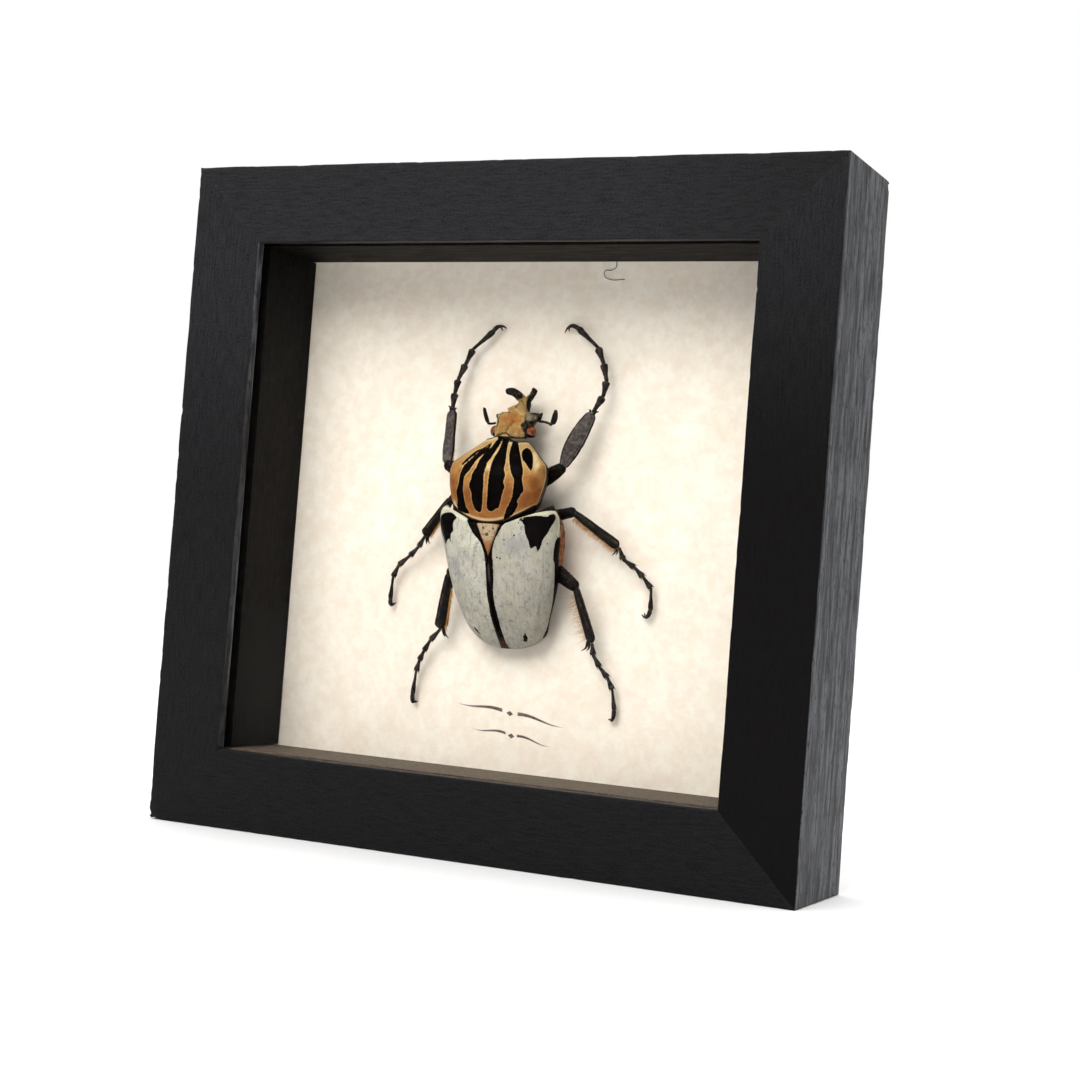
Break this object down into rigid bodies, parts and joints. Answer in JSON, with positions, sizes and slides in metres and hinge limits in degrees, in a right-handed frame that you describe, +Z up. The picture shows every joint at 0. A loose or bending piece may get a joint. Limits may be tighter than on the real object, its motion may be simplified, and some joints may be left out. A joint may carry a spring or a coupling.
{
  "type": "framed goliath beetle",
  "caption": "Dried goliath beetle with a forked horn, striped front and pale wing cases, fixed on a parchment card in a glazed black wooden box frame.",
  "frame": {"origin": "centre of the bottom face that the frame stands on", "axes": "+X to the viewer's right, +Y from the glass to the back panel, +Z up; the glazed front faces -Y"},
  "size_m": [0.2, 0.039, 0.194],
  "materials": {
    "black_wood": "near-black stain on fine-grained wood, dull, a little worn at the corners",
    "dark_wood": "dark brown stained wood, dull",
    "clear_glass": "clear picture glass",
    "parchment": "mottled cream parchment paper",
    "fibreboard": "brown hardboard",
    "steel": "plain thin sheet steel",
    "horn_ochre": "dry insect shell, ochre with dark edges, satin",
    "amber_eye": "insect eye, amber brown, glossy",
    "striped_shell": "dry insect shell, ochre with black stripes, satin",
    "chalk_shell": "dry insect shell, chalky grey-white with black marks",
    "brown_shell": "dry insect shell, brown, satin",
    "black_shell": "dry insect shell, black, satin"
  },
  "bodies": {
    "root": {"frame_rail_top": "black_wood", "frame_rail_bottom": "black_wood", "frame_rail_left": "black_wood", "frame_rail_right": "black_wood", "spacer_top": "dark_wood", "spacer_bottom": "dark_wood", "spacer_left": "dark_wood", "spacer_right": "dark_wood", "glass_pane": "clear_glass", "parchment_card": "parchment", "back_panel": "fibreboard", "back_tab_top": "steel", "back_tab_bottom": "steel", "back_tab_left": "steel", "back_tab_right": "steel", "hanger_plate": "steel", "hanger_nail_left": "steel", "hanger_nail_right": "steel", "head": "horn_ochre", "scutellum": "horn_ochre", "eye_left": "amber_eye", "eye_right": "amber_eye", "pronotum": "striped_shell", "elytron_left": "chalk_shell", "elytron_right": "chalk_shell", "thorax": "brown_shell", "abdomen": "black_shell", "antenna_left": "black_shell", "antenna_right": "black_shell", "femur_front_left": "black_shell", "tibia_front_left": "black_shell", "tarsus_front_left": "black_shell", "femur_front_right": "black_shell", "tibia_front_right": "black_shell", "tarsus_front_right": "black_shell", "femur_middle_left": "black_shell", "tibia_middle_left": "black_shell", "tarsus_middle_left": "black_shell", "femur_middle_right": "black_shell", "tibia_middle_right": "black_shell", "tarsus_middle_right": "black_shell", "femur_hind_left": "black_shell", "tibia_hind_left": "black_shell", "tarsus_hind_left": "black_shell", "femur_hind_right": "black_shell", "tibia_hind_right": "black_shell", "tarsus_hind_right": "black_shell"}
  },
  "joints": []
}
